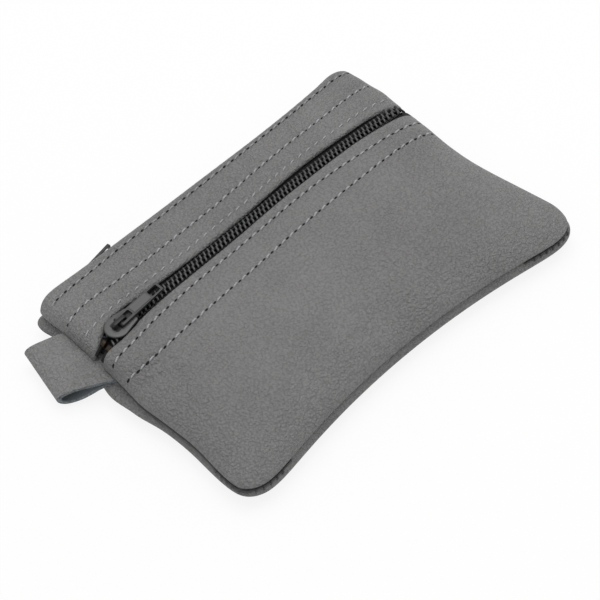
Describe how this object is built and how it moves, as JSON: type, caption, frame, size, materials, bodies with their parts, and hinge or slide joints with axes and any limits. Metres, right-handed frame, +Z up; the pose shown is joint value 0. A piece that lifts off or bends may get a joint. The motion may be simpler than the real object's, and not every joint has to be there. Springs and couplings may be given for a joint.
{
  "type": "key case",
  "caption": "Flat soft leather key case with a zipped front pocket, a zipped top opening, a folded leather side loop and a key ring on a strap inside.",
  "frame": {"origin": "middle of the flat face that the case rests on", "axes": "+Z up out of the front, +X along the zips away from the loop, +Y towards the top opening"},
  "size_m": [0.1369, 0.091, 0.0154],
  "materials": {
    "leather": "soft grained leather, satin",
    "lining": "thin woven lining cloth",
    "zip_tape": "woven zip tape",
    "zip_coil": "smooth moulded coil",
    "slider_metal": "black enamel over die-cast metal",
    "stop_metal": "dull brass",
    "ring_metal": "nickel-plated spring steel"
  },
  "bodies": {
    "pouch": {"front_lower_panel": "leather", "front_upper_panel": "leather", "back_panel": "leather", "side_loop": "leather", "back_lining": "lining", "pocket_lining": "lining", "pocket_zip_tape_upper": "zip_tape", "pocket_zip_tape_lower": "zip_tape", "main_zip_tape_front": "zip_tape", "main_zip_tape_back": "zip_tape", "pocket_zip_coil_upper": "zip_coil", "pocket_zip_coil_lower": "zip_coil", "main_zip_coil_front": "zip_coil", "main_zip_coil_back": "zip_coil", "pocket_zip_top_stops": "stop_metal", "main_zip_top_stops": "stop_metal", "key_strap": "leather"},
    "pocket_slider": {"pocket_zip_slider": "slider_metal"},
    "pocket_puller": {"pocket_zip_puller": "slider_metal"},
    "main_slider": {"main_zip_slider": "slider_metal"},
    "main_puller": {"main_zip_puller": "slider_metal"},
    "ring": {"key_ring": "ring_metal"}
  },
  "joints": [
    {"name": "pocket_zip", "type": "slide", "parent": "pouch", "child": "pocket_slider", "axis": [1, 0, 0], "range_m": [0, 0.092], "deforming": ["pocket_zip_coil_upper", "pocket_zip_coil_lower"]},
    {"name": "pocket_puller_hinge", "type": "hinge", "parent": "pocket_slider", "child": "pocket_puller", "pos_m": [-0.0498, 0.018, 0.01427], "axis": [0, -1, 0], "range_deg": [0, 165]},
    {"name": "main_zip", "type": "slide", "parent": "pouch", "child": "main_slider", "axis": [1, 0, 0], "range_m": [0, 0.088], "deforming": ["main_zip_coil_front", "main_zip_coil_back"]},
    {"name": "main_puller_hinge", "type": "hinge", "parent": "main_slider", "child": "main_puller", "pos_m": [-0.0474, 0.04112, 0.00615], "axis": [0, 0, 1], "range_deg": [-5, 150]},
    {"name": "ring_swing", "type": "hinge", "parent": "pouch", "child": "ring", "pos_m": [-0.0386, -0.009, 0.00473], "axis": [0, 1, 0], "range_deg": [-4, 4]}
  ]
}
